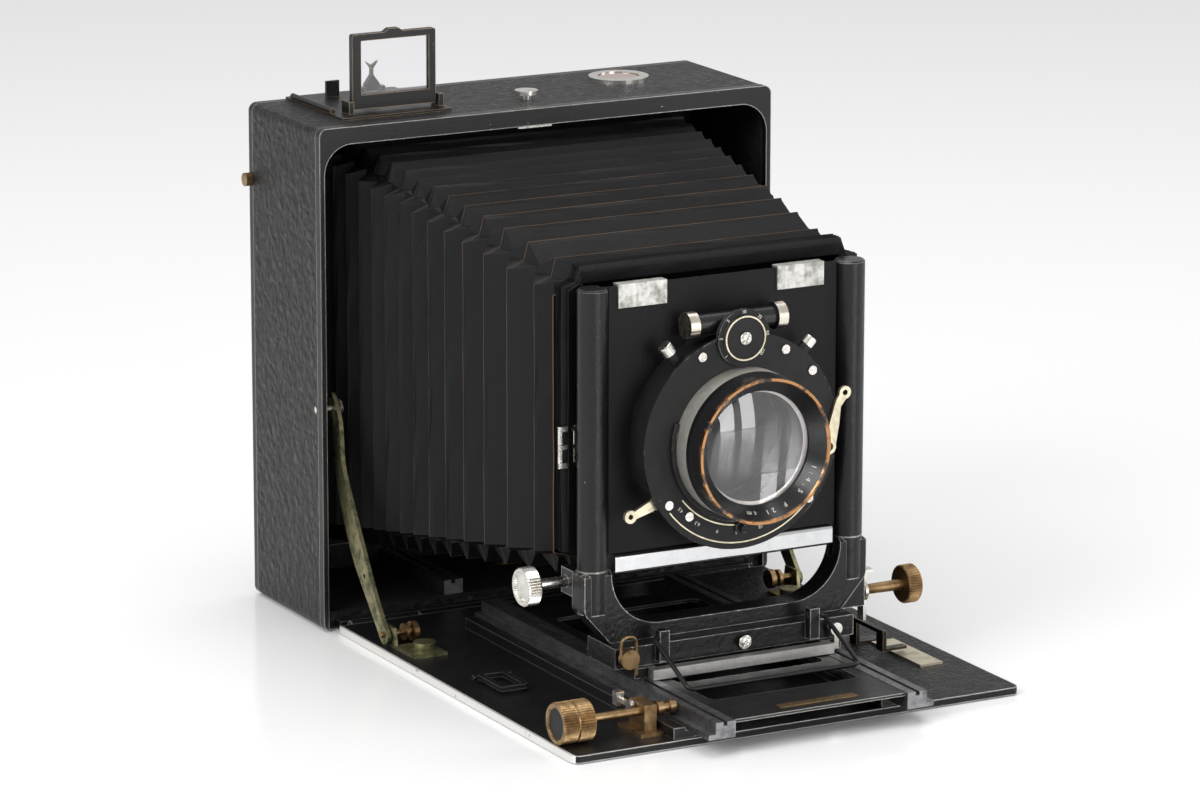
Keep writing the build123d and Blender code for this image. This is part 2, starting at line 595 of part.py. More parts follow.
def make_lens():
    barrel = rod_y(34.2, 0, LENS_Z, -194.5, FACE_Y) + rod_y(32.8, 0, LENS_Z, -205.4, -194.3)
    barrel += rod_y(33.4, 0, LENS_Z, -206.5, -204.6)
    barrel += rod_y(BORE_R - 0.02, 0, LENS_Z, -185, -176)
    barrel -= rod_y(24.4, 0, LENS_Z, -210, -170)
    barrel -= rod_y(26.3, 0, LENS_Z, -210, -193.0)
    bezel = Pos(0, -202.9, LENS_Z) * Rot(90, 0, 0) * Cone(26.3, 32.2, 7.4)
    barrel -= bezel
    nodes["lens_barrel"] = barrel

    dome = Pos(0, -201.6 + 95.0, LENS_Z) * Sphere(95.0)
    front = rod_y(26.2, 0, LENS_Z, -202.5, -193.1) & dome
    rear = rod_y(24.6, 0, LENS_Z, -147.0, -141.6)
    nodes["lens_elements"] = [front, rear]

    cell = rod_y(BORE_R - 0.02, 0, LENS_Z, -168.0, -157.9) + rod_y(30.8, 0, LENS_Z, -157.9, -140.8)
    cell -= rod_y(22.5, 0, LENS_Z, -170, -140)
    cell -= rod_y(24.7, 0, LENS_Z, -147.0, -139)
    nodes["rear_cell"] = cell


make_shutter()
make_lens()


# ---- export, with the tripod socket's mouth at the origin ----
for name, made in nodes.items():
    pieces = made if isinstance(made, list) else [made]
    solids = []
    for piece in pieces:
        solids += list((Pos(0, -SOCKET_Y, 0) * piece).solids())
    shape = solids[0] if len(solids) == 1 else Compound(children=solids)
    export_step(shape, f"parts/{name}.step")
print(len(nodes), "nodes written")
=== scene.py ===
import math
import random

import bmesh
import bpy
from mathutils import Matrix, Vector


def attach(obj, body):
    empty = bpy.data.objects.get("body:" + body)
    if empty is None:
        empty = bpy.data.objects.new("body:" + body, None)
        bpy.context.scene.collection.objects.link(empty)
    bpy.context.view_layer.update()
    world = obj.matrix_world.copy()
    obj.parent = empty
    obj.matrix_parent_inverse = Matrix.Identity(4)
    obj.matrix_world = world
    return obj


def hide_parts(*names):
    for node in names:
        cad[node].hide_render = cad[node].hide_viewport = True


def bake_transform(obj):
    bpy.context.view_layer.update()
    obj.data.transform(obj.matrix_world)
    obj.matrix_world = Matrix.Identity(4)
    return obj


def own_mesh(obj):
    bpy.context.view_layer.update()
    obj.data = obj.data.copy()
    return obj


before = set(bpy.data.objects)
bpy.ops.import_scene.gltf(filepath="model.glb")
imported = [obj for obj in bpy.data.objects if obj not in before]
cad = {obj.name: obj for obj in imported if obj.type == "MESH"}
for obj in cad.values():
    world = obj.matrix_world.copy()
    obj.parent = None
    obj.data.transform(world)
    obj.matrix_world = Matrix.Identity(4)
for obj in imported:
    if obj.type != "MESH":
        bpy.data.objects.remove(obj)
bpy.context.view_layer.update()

# ---- studio: camera, floor and soft lights ----
# A pale floor under soft boxes. The view is from in front and to the left, looking down a little,
# with a long lens.
view_point = Vector((-1.24606, -2.4093, 0.75172))
yaw, pitch, roll = math.radians(28.28), math.radians(13.72), math.radians(0.07)
camera_data = bpy.data.cameras.new("studio_camera")
camera_data.lens = 173.3
camera_data.sensor_width = 36.0
camera_data.clip_start = 0.05
camera = bpy.data.objects.new("studio_camera", camera_data)
bpy.context.scene.collection.objects.link(camera)
camera.matrix_world = (
    Matrix.Translation(view_point)
    @ Matrix.Rotation(-yaw, 4, "Z")
    @ Matrix.Rotation(math.pi / 2 - pitch, 4, "X")
    @ Matrix.Rotation(roll, 4, "Z")
)
bpy.context.scene.camera = camera

floor_bm = bmesh.new()
bmesh.ops.create_grid(floor_bm, x_segments=2, y_segments=2, size=12.0)
floor_mesh = bpy.data.meshes.new("floor")
floor_bm.to_mesh(floor_mesh)
floor_bm.free()
floor_mesh.transform(Matrix.Translation((0, 0, -0.0004)))
floor = bpy.data.objects.new("floor", floor_mesh)
bpy.context.scene.collection.objects.link(floor)
floor_paint = bpy.data.materials.new("floor_paint")
floor_paint.use_nodes = True
floor_shader = floor_paint.node_tree.nodes["Principled BSDF"]
floor_shader.inputs["Base Color"].default_value = (0.93, 0.93, 0.93, 1)
floor_shader.inputs["Roughness"].default_value = 0.16
floor_mesh.materials.append(floor_paint)

world = bpy.data.worlds.new("studio_air")
bpy.context.scene.world = world
world.use_nodes = True
world.node_tree.nodes["Background"].inputs["Color"].default_value = (1, 1, 1, 1)
world.node_tree.nodes["Background"].inputs["Strength"].default_value = 0.60
bpy.context.scene.view_settings.view_transform = "Standard"


def softbox(name, place, target, width, height, power):
    """A rectangular lamp that faces the target."""
    lamp = bpy.data.lights.new(name, "AREA")
    lamp.shape = "RECTANGLE"
    lamp.size = width
    lamp.size_y = height
    lamp.energy = power
    held = bpy.data.objects.new(name, lamp)
    bpy.context.scene.collection.objects.link(held)
    aim = (Vector(target) - Vector(place)).to_track_quat("-Z", "Y")
    held.matrix_world = Matrix.Translation(place) @ aim.to_matrix().to_4x4()


middle = (0, -0.08, 0.12)
softbox("key_left", (-2.0, -0.7, 1.5), middle, 1.3, 1.5, 34)
softbox("top", (0.1, 0.2, 2.3), middle, 1.8, 1.6, 24)
softbox("pane_a", (0.36, -2.5, 0.55), middle, 0.34, 1.1, 8)
softbox("pane_b", (0.86, -2.4, 0.55), middle, 0.34, 1.1, 7)
softbox("right_fill", (2.2, -0.9, 1.0), middle, 1.2, 1.4, 11)


# ---- body: a leather covered wooden box ----
# Boards covered in black grained leather, glued on, with the inside painted matt black. The side
# has a coarse pebble grain with a shine on it, and the top a finer wrinkled one.
def node(tree, kind, settings=None, links=None, **props):
    """A shader node with its settings and what feeds it."""
    made = tree.nodes.new("ShaderNode" + kind)
    for key, value in props.items():
        setattr(made, key, value)
    for key, value in (settings or {}).items():
        made.inputs[key].default_value = value
    for key, value in (links or {}).items():
        tree.links.new(value, made.inputs[key])
    return made


def calc(tree, what, a, b=0.0):
    """Arithmetic on two sockets or numbers."""
    made = tree.nodes.new("ShaderNodeMath")
    made.operation = what
    for i, value in enumerate((a, b)):
        if isinstance(value, (int, float)):
            made.inputs[i].default_value = value
        else:
            tree.links.new(value, made.inputs[i])
    return made.outputs[0]


def ramp(tree, value, low, high):
    """0 below low and 1 above high, with a smooth step between."""
    made = node(tree, "MapRange", {1: low, 2: high}, {0: value}, interpolation_type="SMOOTHSTEP")
    return made.outputs[0]


def tint(tree, share, a, b):
    """One colour over another, by share. Each is a colour or a socket."""
    made = tree.nodes.new("ShaderNodeMix")
    made.data_type = "RGBA"
    if isinstance(share, (int, float)):
        made.inputs[0].default_value = share
    else:
        tree.links.new(share, made.inputs[0])
    for i, value in ((6, a), (7, b)):
        if isinstance(value, tuple):
            made.inputs[i].default_value = (*value, 1)
        else:
            tree.links.new(value, made.inputs[i])
    return made.outputs[2]


def noise(tree, where, scale, detail=4.0, rough=0.55, stretch=None):
    """Cloudy noise on object coordinates."""
    if stretch:
        where = node(tree, "Mapping", {"Scale": stretch}, {"Vector": where}).outputs[0]
    settings = {"Scale": scale, "Detail": detail, "Roughness": rough}
    return node(tree, "TexNoise", settings, {"Vector": where}).outputs[0]


def finish(name):
    """A new material with its tree, its shader and its object coordinates."""
    made = bpy.data.materials.new(name)
    made.use_nodes = True
    tree = made.node_tree
    return made, tree, tree.nodes["Principled BSDF"], node(tree, "TexCoord").outputs["Object"]


def feed(tree, bsdf, colour=None, rough=None, metal=None, height=None, depth=0.0003, strength=1.0):
    """Wires a finish into its shader."""
    for name, value in (("Base Color", colour), ("Roughness", rough), ("Metallic", metal)):
        if value is not None and not isinstance(value, (int, float, tuple)):
            tree.links.new(value, bsdf.inputs[name])
        elif isinstance(value, tuple):
            bsdf.inputs[name].default_value = (*value, 1)
        elif value is not None:
            bsdf.inputs[name].default_value = value
    if height is not None:
        bump = node(tree, "Bump", {"Strength": strength, "Distance": depth}, {"Height": height})
        tree.links.new(bump.outputs[0], bsdf.inputs["Normal"])


def group(name, inputs, outputs):
    """An empty shader node group with named sockets."""
    made = bpy.data.node_groups.new(name, "ShaderNodeTree")
    for label, kind, value in inputs:
        socket = made.interface.new_socket(label, in_out="INPUT", socket_type=kind)
        if value is not None:
            socket.default_value = value
    for label, kind in outputs:
        made.interface.new_socket(label, in_out="OUTPUT", socket_type=kind)
    return made, made.nodes.new("NodeGroupInput"), made.nodes.new("NodeGroupOutput")


def place_group(tree, which, settings=None, links=None):
    """A node group with its settings and what feeds it."""
    made = tree.nodes.new("ShaderNodeGroup")
    made.node_tree = which
    for key, value in (settings or {}).items():
        made.inputs[key].default_value = value
    for key, value in (links or {}).items():
        tree.links.new(value, made.inputs[key])
    return made


grain_group, g_in, g_out = group(
    "leather_grain",
    [
        ("Vector", "NodeSocketVector", None), ("Scale", "NodeSocketFloat", 450.0),
        ("Wrinkle", "NodeSocketFloat", 0.3),
    ],
    [("Height", "NodeSocketFloat")],
)
g_warp = node(grain_group, "TexNoise", {"Scale": 120.0, "Detail": 2.0}, {"Vector": g_in.outputs[0]})
g_shift = node(grain_group, "VectorMath", {3: 0.006}, {0: g_warp.outputs[1]}, operation="SCALE")
g_place = node(
    grain_group, "VectorMath", None, {0: g_in.outputs[0], 1: g_shift.outputs[0]}, operation="ADD",
)
g_cell = node(
    grain_group, "TexVoronoi", {"Smoothness": 0.6},
    {"Vector": g_place.outputs[0], "Scale": g_in.outputs[1]}, feature="SMOOTH_F1",
)
g_crease = node(
    grain_group, "TexNoise", {"Scale": 160.0, "Detail": 6.0, "Roughness": 0.7},
    {"Vector": g_place.outputs[0]},
)
g_fold = calc(grain_group, "ABSOLUTE", calc(grain_group, "SUBTRACT", g_crease.outputs[0], 0.5))
g_fold = ramp(grain_group, g_fold, 0.0, 0.06)
g_fold = calc(grain_group, "MULTIPLY", g_fold, g_in.outputs[2])
g_sum = calc(grain_group, "ADD", calc(grain_group, "SUBTRACT", 1.0, g_cell.outputs[0]), g_fold)
grain_group.links.new(g_sum, g_out.inputs[0])

edge_group, e_in, e_out = group(
    "edge_wear",
    [
        ("Vector", "NodeSocketVector", None), ("Width", "NodeSocketFloat", 0.0008),
        ("Amount", "NodeSocketFloat", 0.5),
    ],
    [("Wear", "NodeSocketFloat")],
)
e_round = node(edge_group, "Bevel", None, {"Radius": e_in.outputs[1]}, samples=4)
e_flat = node(edge_group, "NewGeometry")
e_dot = node(
    edge_group, "VectorMath", None, {0: e_round.outputs[0], 1: e_flat.outputs["Normal"]},
    operation="DOT_PRODUCT",
)
e_edge = ramp(edge_group, calc(edge_group, "SUBTRACT", 1.0, e_dot.outputs["Value"]), 0.01, 0.16)
e_patch = node(
    edge_group, "TexNoise", {"Scale": 230.0, "Detail": 8.0, "Roughness": 0.75},
    {"Vector": e_in.outputs[0]},
)
e_long = node(edge_group, "TexNoise", {"Scale": 34.0, "Detail": 3.0}, {"Vector": e_in.outputs[0]})
e_share = calc(
    edge_group, "ADD", calc(edge_group, "MULTIPLY", e_patch.outputs[0], 0.6),
    calc(edge_group, "MULTIPLY", e_long.outputs[0], 0.5),
)
e_share = calc(
    edge_group, "SUBTRACT",
    calc(edge_group, "ADD", e_share, calc(edge_group, "MULTIPLY", e_edge, 0.5)), 1.0,
)
e_mask = calc(
    edge_group, "MULTIPLY",
    ramp(edge_group, calc(edge_group, "ADD", e_share, e_in.outputs[2]), 0.28, 0.36), e_edge,
)
edge_group.links.new(e_mask, e_out.inputs[0])


def leather(name, scale, wrinkle, depth, shine, bare=(0.10, 0.075, 0.05), amount=0.35):
    """Black leather with its grain and rubbed edges."""
    made, tree, bsdf, where = finish(name)
    grain = place_group(
        tree, grain_group, {"Scale": scale, "Wrinkle": wrinkle}, {"Vector": where},
    ).outputs[0]
    wear = place_group(
        tree, edge_group, {"Width": 0.0012, "Amount": amount}, {"Vector": where},
    ).outputs[0]
    cloud = noise(tree, where, 22.0)
    colour = tint(tree, cloud, (0.004, 0.0038, 0.004), (0.011, 0.0105, 0.011))
    colour = tint(tree, calc(tree, "MULTIPLY", wear, 0.7), colour, bare)
    rough = calc(tree, "ADD", calc(tree, "MULTIPLY", noise(tree, where, 260.0), 0.3), shine)
    feed(tree, bsdf, colour, rough, 0.0, grain, depth, 0.9)
    bsdf.inputs["Specular IOR Level"].default_value = 0.26
    return made


def wear_material(piece, material):
    """Gives a piece or a node its one material."""
    piece.data.materials.clear()
    piece.data.materials.append(material)


casing, tree, bsdf, where = finish("body_leather")
split = node(tree, "SeparateXYZ", None, {"Vector": where})
face = node(tree, "SeparateXYZ", None, {"Vector": node(tree, "NewGeometry").outputs["Normal"]})
on_top = ramp(tree, face.outputs["Z"], 0.5, 0.8)
coarse = place_group(
    tree, grain_group, {"Scale": 250.0, "Wrinkle": 0.15}, {"Vector": where},
).outputs[0]
fine = place_group(
    tree, grain_group, {"Scale": 720.0, "Wrinkle": 0.9}, {"Vector": where},
).outputs[0]
grain = node(tree, "Mix", {0: 0.0}, {0: on_top, 2: coarse, 3: fine}).outputs[0]
chamber_half_x, chamber_half_z, chamber_mid_z = 0.1181, 0.1145, 0.121
inside_x = calc(tree, "LESS_THAN", calc(tree, "ABSOLUTE", split.outputs["X"]), chamber_half_x)
from_mid = calc(tree, "ABSOLUTE", calc(tree, "SUBTRACT", split.outputs["Z"], chamber_mid_z))
inside_z = calc(tree, "LESS_THAN", from_mid, chamber_half_z)
hollow = calc(tree, "MULTIPLY", inside_x, inside_z)
wear = place_group(
    tree, edge_group, {"Width": 0.0016, "Amount": 0.42}, {"Vector": where},
).outputs[0]
colour = tint(tree, noise(tree, where, 20.0), (0.002, 0.002, 0.0023), (0.007, 0.0066, 0.007))
colour = tint(tree, calc(tree, "MULTIPLY", wear, 0.65), colour, (0.20, 0.16, 0.11))
colour = tint(tree, hollow, colour, (0.006, 0.006, 0.006))
rough = calc(tree, "ADD", calc(tree, "MULTIPLY", noise(tree, where, 240.0), 0.35), 0.22)
rough = calc(tree, "MAXIMUM", rough, calc(tree, "MULTIPLY", hollow, 0.7))
feed(tree, bsdf, colour, rough, 0.0, grain, 0.0009, 1.0)
bsdf.inputs["Specular IOR Level"].default_value = 0.36
wear_material(cad["body_casing"], casing)
hide = leather("hood_leather", 480.0, 0.5, 0.0005, 0.28)
wear_material(cad["hood_lid"], hide)


# ---- rims and frames: black lacquered metal ----
# Stamped and cast frames with a hard black lacquer, chipped to bare metal along the edges.
def lacquer(
    name, amount=0.5, width=0.0009, bare=(0.55, 0.53, 0.50), shine=0.22, depth=0.00012, pit=900.0,
):
    """Black lacquer over metal, with chips on the edges and a slightly uneven skin."""
    made, tree, bsdf, where = finish(name)
    wear = place_group(
        tree, edge_group, {"Width": width, "Amount": amount}, {"Vector": where},
    ).outputs[0]
    speck = node(tree, "TexNoise", {"Scale": 520.0, "Detail": 2.0}, {"Vector": where}).outputs[0]
    speck = calc(tree, "MULTIPLY", ramp(tree, speck, 0.76, 0.79), 0.8)
    chips = calc(tree, "MAXIMUM", wear, speck)
    colour = tint(tree, noise(tree, where, 30.0), (0.004, 0.004, 0.0045), (0.010, 0.0095, 0.010))
    colour = tint(tree, chips, colour, bare)
    rough = calc(tree, "ADD", calc(tree, "MULTIPLY", noise(tree, where, 140.0, 6.0), 0.26), shine)
    skin = calc(tree, "SUBTRACT", noise(tree, where, pit, 3.0), calc(tree, "MULTIPLY", chips, 0.8))
    feed(tree, bsdf, colour, rough, calc(tree, "MULTIPLY", chips, 0.9), skin, depth, 0.6)
    bsdf.inputs["Specular IOR Level"].default_value = 0.36
    return made


rim_paint = lacquer("rim_lacquer", 0.5, 0.0009)
cast_paint = lacquer("cast_lacquer", 0.46, 0.0010, shine=0.20, depth=0.0004, pit=420.0)
fine_paint = lacquer("fine_lacquer", 0.40, 0.0006, bare=(0.42, 0.30, 0.18), shine=0.24)
matt_paint = lacquer("matt_lacquer", 0.22, 0.0005, shine=0.42)
for name in (
    "front_rim", "rear_frame", "back_frame", "bed_hinge", "bed_guide_rails", "carriage_plate",
):
    wear_material(cad[name], rim_paint)
for name in ("standard_frame", "standard_columns", "standard_base", "panel_carrier"):
    wear_material(cad[name], cast_paint)
for name in ("finder_base", "finder_frame", "finder_sight", "index_bracket"):
    wear_material(cad[name], fine_paint)
for name in ("shutter_case", "rear_cell", "speed_dial", "aperture_ring"):
    wear_material(cad[name], matt_paint)


# ---- plated and bare metal fittings ----
# Turned and filed brass, some of it nickel plated, dulled with handling; the rails are bare steel.
def worked_metal(name, bright, dull, rough, spread=0.25, dirt=0.5, brush=None):
    """Bare or plated metal with tarnish in clouds and fine scratches."""
    made, tree, bsdf, where = finish(name)
    cloud = ramp(tree, noise(tree, where, 160.0, 6.0, 0.65), 0.38, 0.68)
    scratch = noise(tree, where, 900.0, 3.0, 0.6, brush or (1.0, 0.08, 1.0))
    colour = tint(tree, calc(tree, "MULTIPLY", cloud, dirt), bright, dull)
    shine = calc(tree, "ADD", calc(tree, "MULTIPLY", scratch, spread), rough)
    shine = calc(tree, "ADD", shine, calc(tree, "MULTIPLY", cloud, 0.15 * dirt))
    feed(tree, bsdf, colour, shine, 1.0, scratch, 0.00003, 0.5)
    return made


nickel = worked_metal("nickel_plate", (0.80, 0.78, 0.74), (0.42, 0.38, 0.31), 0.10)
bright_bar = worked_metal(
    "polished_bar", (0.74, 0.75, 0.76), (0.48, 0.48, 0.47), 0.05, 0.08, 0.3, (0.06, 1.0, 1.0),
)
steel = worked_metal("bare_steel", (0.27, 0.27, 0.28), (0.11, 0.11, 0.11), 0.24, 0.3, 0.85)
brass = worked_metal("handled_brass", (0.36, 0.24, 0.12), (0.13, 0.075, 0.035), 0.24, 0.25, 0.85)
olive = worked_metal(
    "tarnished_brass", (0.36, 0.33, 0.19), (0.09, 0.10, 0.05), 0.30, 0.25, 1.0, (1.0, 1.0, 0.1),
)
clip_metal = worked_metal(
    "filed_clips", (0.66, 0.65, 0.62), (0.22, 0.21, 0.18), 0.26, 0.5, 0.75, (1.0, 1.0, 0.05),
)
strip_metal = worked_metal(
    "nickel_strip", (0.60, 0.59, 0.57), (0.36, 0.34, 0.30), 0.28, 0.3, 0.4, (0.05, 1.0, 1.0),
)
pale_brass = worked_metal("silvered_scale", (0.72, 0.66, 0.50), (0.38, 0.32, 0.20), 0.28, 0.2, 0.55)
for name in (
    "latch_plate", "level_ring", "release_button", "strut_wall_pins", "base_lever", "shift_lever",
    "focus_lock", "face_screws",
):
    wear_material(cad[name], nickel)
wear_material(cad["panel_bar"], bright_bar)
wear_material(cad["panel_clips"], clip_metal)
wear_material(cad["base_strip"], strip_metal)
for name in ("carriage_rails", "body_rails"):
    wear_material(cad[name], steel)
for name in (
    "tripod_bush", "back_catch", "strut_button_left", "strut_button_right", "focus_bearing",
    "focus_shaft", "base_button",
):
    wear_material(cad[name], brass)
for name in ("strut_left", "strut_right", "strut_feet"):
    wear_material(cad[name], olive)
for name in ("scale_plate", "cocking_lever", "shutter_release"):
    wear_material(cad[name], pale_brass)

# ---- bed: the drop front ----
# A leather covered metal plate, worn nearly smooth but for its right side. Its edges are chipped,
# and the left one shows bare metal in a long bright line.
bed_finish, tree, bsdf, where = finish("bed_leather")
split = node(tree, "SeparateXYZ", None, {"Vector": where})
grain_from_x, grain_to_x = 0.052, 0.066
right_part = ramp(tree, split.outputs["X"], grain_from_x, grain_to_x)
grain = place_group(
    tree, grain_group, {"Scale": 520.0, "Wrinkle": 0.7}, {"Vector": where},
).outputs[0]
grain = calc(
    tree, "MULTIPLY", grain, calc(tree, "ADD", calc(tree, "MULTIPLY", right_part, 0.9), 0.1),
)
wear = place_group(
    tree, edge_group, {"Width": 0.0011, "Amount": 0.48}, {"Vector": where},
).outputs[0]
worn_edge_x = -0.1134
edge_x = calc(tree, "LESS_THAN", split.outputs["X"], worn_edge_x)
scrape = ramp(tree, noise(tree, where, 70.0, 6.0, 0.7), 0.34, 0.40)
bare = calc(tree, "MAXIMUM", wear, calc(tree, "MULTIPLY", edge_x, scrape))
colour = tint(tree, noise(tree, where, 28.0), (0.005, 0.005, 0.0055), (0.013, 0.012, 0.012))
colour = tint(tree, bare, colour, (0.80, 0.79, 0.76))
rough = calc(tree, "ADD", calc(tree, "MULTIPLY", noise(tree, where, 200.0), 0.28), 0.24)
feed(tree, bsdf, colour, rough, calc(tree, "MULTIPLY", bare, 0.6), grain, 0.0005, 0.8)
bsdf.inputs["Specular IOR Level"].default_value = 0.24
wear_material(cad["bed_plate"], bed_finish)

# ---- lens panel ----
# A black painted board with a fine fibre in its paint, set in front of its carrier and held by two
# clips above and the bright bar below.
panel_finish, tree, bsdf, where = finish("panel_paint")
fibre = noise(tree, where, 700.0, 4.0, 0.6, (1.0, 1.0, 0.15))
colour = tint(tree, fibre, (0.0028, 0.0026, 0.0028), (0.007, 0.0066, 0.007))
feed(
    tree, bsdf, colour, calc(tree, "ADD", calc(tree, "MULTIPLY", fibre, 0.2), 0.42), 0.0, fibre,
    0.00012, 0.6,
)
bsdf.inputs["Specular IOR Level"].default_value = 0.22
wear_material(cad["lens_panel"], panel_finish)

# ---- lens barrel and air cylinder ----
# The barrel has a nickel ring behind, a black front, and a rim rubbed to copper-coloured brass.
# The cylinder is a black tube with turned nickel caps.
barrel_finish, tree, bsdf, where = finish("barrel_finish")
split = node(tree, "SeparateXYZ", None, {"Vector": where})
lens_z = 119.5  # height of the lens axis, in millimetres
ring_front_y, rim_back_y, rim_inner_r = -0.2374, -0.2477, 0.0317
ring_zone = calc(tree, "GREATER_THAN", split.outputs["Y"], ring_front_y)
rim_zone = calc(tree, "LESS_THAN", split.outputs["Y"], rim_back_y)
above_axis = calc(tree, "SUBTRACT", split.outputs["Z"], lens_z / 1000.0)
off_axis = node(tree, "CombineXYZ", None, {"X": split.outputs["X"], "Z": above_axis}).outputs[0]
radius = node(tree, "VectorMath", None, {0: off_axis}, operation="LENGTH").outputs["Value"]
outer = calc(tree, "GREATER_THAN", radius, rim_inner_r)
rubbed = calc(
    tree, "MULTIPLY", calc(tree, "MULTIPLY", rim_zone, outer),
    ramp(tree, noise(tree, where, 130.0, 5.0), 0.36, 0.5),
)
colour = tint(tree, noise(tree, where, 40.0), (0.007, 0.007, 0.008), (0.016, 0.015, 0.016))
colour = tint(tree, ring_zone, colour, (0.84, 0.81, 0.74))
colour = tint(tree, rubbed, colour, (0.42, 0.22, 0.10))
metal = calc(tree, "MAXIMUM", ring_zone, rubbed)
rough = calc(tree, "ADD", calc(tree, "MULTIPLY", noise(tree, where, 500.0), 0.2), 0.14)
rough = calc(tree, "ADD", rough, calc(tree, "MULTIPLY", ring_zone, 0.24))
feed(tree, bsdf, colour, rough, metal)
wear_material(cad["lens_barrel"], barrel_finish)

cylinder_finish, tree, bsdf, where = finish("cylinder_finish")
split = node(tree, "SeparateXYZ", None, {"Vector": where})
cap_inner_x = 0.0202
cap = calc(tree, "GREATER_THAN", calc(tree, "ABSOLUTE", split.outputs["X"]), cap_inner_x)
colour = tint(tree, cap, (0.010, 0.010, 0.011), (0.74, 0.68, 0.58))
feed(
    tree, bsdf, colour,
    calc(tree, "ADD", calc(tree, "MULTIPLY", noise(tree, where, 400.0), 0.25), 0.12), cap,
)
wear_material(cad["air_cylinder"], cylinder_finish)

# ---- glass ----
# Polished lens elements with a little haze, the ground focusing screen, the finder lens and the
# spirit level's tinted vial under a clear coat.
lens_glass, tree, bsdf, where = finish("polished_glass")
bsdf.inputs["Transmission Weight"].default_value = 1.0
bsdf.inputs["IOR"].default_value = 1.75
haze = ramp(tree, noise(tree, where, 90.0, 5.0), 0.4, 0.8)
feed(tree, bsdf, (0.96, 0.95, 0.97), calc(tree, "MULTIPLY", haze, 0.04))
for name in ("lens_elements", "finder_lens"):
    wear_material(cad[name], lens_glass)
screen_glass, tree, bsdf, where = finish("ground_screen")
bsdf.inputs["Transmission Weight"].default_value = 0.7
frost = noise(tree, where, 1800.0, 2.0)
feed(
    tree, bsdf, tint(tree, frost, (0.62, 0.66, 0.66), (0.78, 0.80, 0.79)), 0.55, 0.0, frost,
    0.00005, 0.4,
)
wear_material(cad["ground_glass"], screen_glass)
vial_glass, tree, bsdf, where = finish("spirit_vial")
spirit = noise(tree, where, 60.0, 2.0)
feed(
    tree, bsdf, tint(tree, spirit, (0.16, 0.035, 0.018), (0.34, 0.17, 0.11)),
    calc(tree, "MULTIPLY", spirit, 0.12),
)
bsdf.inputs["Coat Weight"].default_value = 1.0
wear_material(cad["level_vial"], vial_glass)


# ---- bellows ----
# Thin black leather folded over card, with its corners tucked in and its front folds rubbed brown.
# The long piece is glued to the body, a smaller one inside it goes with the carriage, and a short
# one joins the U frame to the lens board.
def mm(x, y, z):
    """Millimetres, with y counted from the body's front face, 43 mm before the tripod socket."""
    return Vector((x, y - 43.0, z)) / 1000.0


def keep_piece(name, bm, material, smooth=False):
    """Makes a finished object of the mesh."""
    mesh = bpy.data.meshes.new(name)
    bm.to_mesh(mesh)
    bm.free()
    for polygon in mesh.polygons:
        polygon.use_smooth = smooth
    piece = bpy.data.objects.new(name, mesh)
    bpy.context.scene.collection.objects.link(piece)
    mesh.materials.append(material)
    return piece


def fold_ring(half, low, high, tuck, tip, parts=9):
    """Points round a rectangle with cut corners, in order. The middle of each cut moves out by tip."""
    corners = [(half, low), (half, high), (-half, high), (-half, low)]
    points = []
    for i in range(4):
        x0, z0 = corners[i]
        x1, z1 = corners[(i + 1) % 4]
        run = math.hypot(x1 - x0, z1 - z0)
        for k in range(parts):
            t = (tuck + (run - 2 * tuck) * k / (parts - 1)) / run
            points.append((x0 + (x1 - x0) * t, z0 + (z1 - z0) * t))
        out_x = 1 if x1 > 0 else -1
        out_z = 1 if z1 > low else -1
        shift = tip * 0.7 - tuck * 0.5
        points.append((x1 + out_x * shift, z1 + out_z * shift))
    return points


def next_ring(last, made):
    """The new points of an extruded ring, in the order of the old ones."""
    ring = []
    for old in last:
        ends = [edge.other_vert(old) for edge in old.link_edges]
        ring.append(next(end for end in ends if end in made))
    return ring


def fold_tube(name, rings, material, seed, slack):
    """A pleated tube through the rings: (y, half width, bottom, top, corner tuck, tip, fold)."""
    chance = random.Random(seed)
    bm = bmesh.new()
    layer = bm.verts.layers.float.new("fold")
    last = None
    for y, half, low, high, tuck, tip, fold in rings:
        points = fold_ring(half, low, high, tuck, tip)
        if last is None:
            ring = [bm.verts.new(mm(x, y, z)) for x, z in points]
            edges = [bm.edges.new((ring[i], ring[(i + 1) % len(ring)])) for i in range(len(ring))]
        else:
            made = bmesh.ops.extrude_edge_only(bm, edges=edges)["geom"]
            edges = [g for g in made if isinstance(g, bmesh.types.BMEdge)]
            ring = next_ring(last, made)
            for vert, (x, z) in zip(ring, points):
                drift = chance.uniform(-slack, slack)
                vert.co = mm(x, y + drift, z)
        for vert in ring:
            vert[layer] = fold
        last = ring
    bmesh.ops.recalc_face_normals(bm, faces=bm.faces)
    bmesh.ops.solidify(bm, geom=bm.faces[:], thickness=0.0005)
    return keep_piece(name, bm, material)


bellows_finish, tree, bsdf, where = finish("bellows_leather")
crest = node(tree, "Attribute", attribute_name="fold").outputs["Fac"]
split = node(tree, "SeparateXYZ", None, {"Vector": where})
forward = ramp(tree, calc(tree, "MULTIPLY", split.outputs["Y"], -1.0), 0.03, 0.16)
rub = calc(
    tree, "ADD", calc(tree, "MULTIPLY", noise(tree, where, 90.0, 5.0), 0.5),
    calc(tree, "MULTIPLY", forward, 0.35),
)
line = ramp(tree, crest, 0.97, 0.998)
brown = calc(tree, "MULTIPLY", line, ramp(tree, rub, 0.30, 0.48))
cloud = noise(tree, where, 34.0, 5.0)
colour = tint(tree, cloud, (0.0028, 0.0026, 0.0029), (0.008, 0.0073, 0.008))
colour = tint(tree, calc(tree, "MULTIPLY", brown, 0.85), colour, (0.12, 0.07, 0.035))
weave = noise(tree, where, 1500.0, 3.0)
crumple = calc(
    tree, "ADD", calc(tree, "MULTIPLY", weave, 0.25), noise(tree, where, 110.0, 5.0, 0.6),
)
